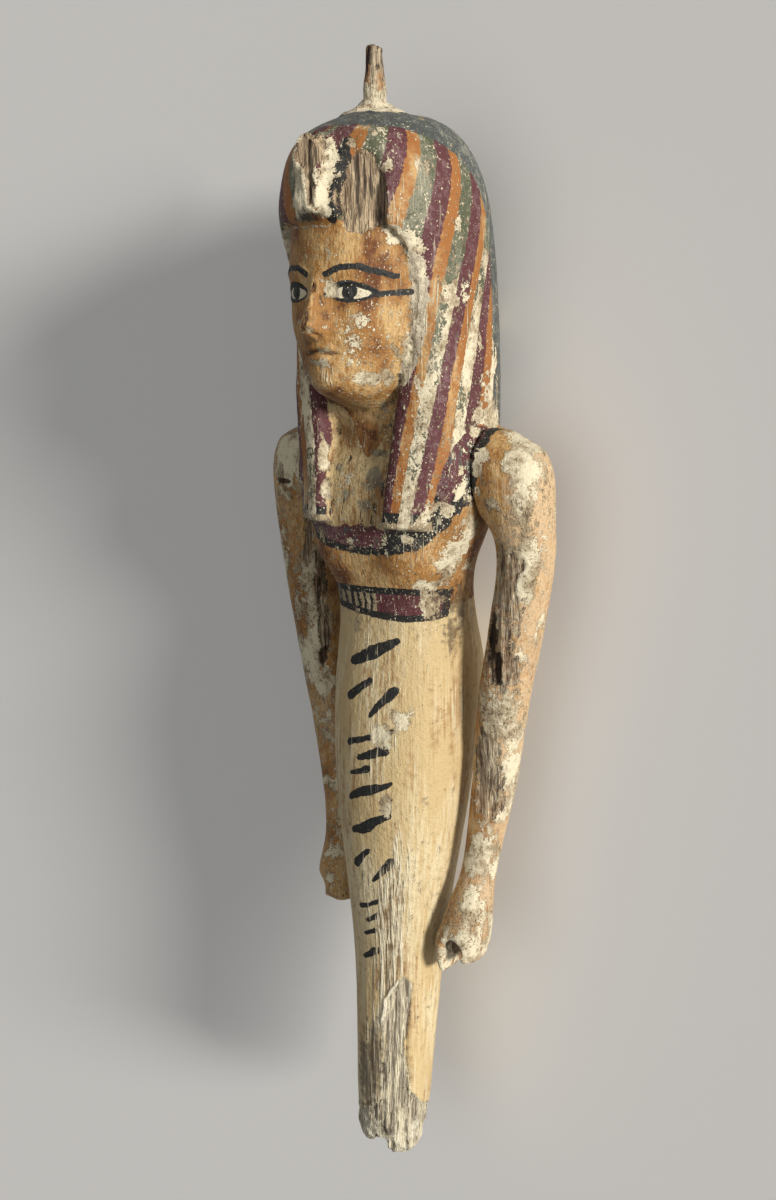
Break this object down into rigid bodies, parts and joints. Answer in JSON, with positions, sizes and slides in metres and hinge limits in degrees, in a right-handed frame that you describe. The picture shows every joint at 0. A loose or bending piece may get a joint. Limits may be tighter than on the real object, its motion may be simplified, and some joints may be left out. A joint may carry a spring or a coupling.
{
  "type": "wooden statuette",
  "caption": "Painted wooden statuette of a standing woman in a striped wig, with hanging arms, a crown peg and broken-off feet, lying on its back.",
  "frame": {"origin": "middle of the width and length, on the surface that the flat spots of the back lie on", "axes": "+X to the figure's left, +Y from the broken legs to the crown, +Z out of the face"},
  "size_m": [0.1672, 0.568, 0.1206],
  "materials": {
    "painted_wood": "paint on gesso over carved wood, worn and flaked, matt",
    "worn_arm_paint": "ochre paint on gesso with large losses to bare wood, matt",
    "bare_wood": "bare aged wood with traces of gesso, matt"
  },
  "bodies": {
    "root": {"figure_body": "painted_wood", "left_arm": "worn_arm_paint", "right_arm": "worn_arm_paint", "crown_peg": "bare_wood"}
  },
  "joints": []
}
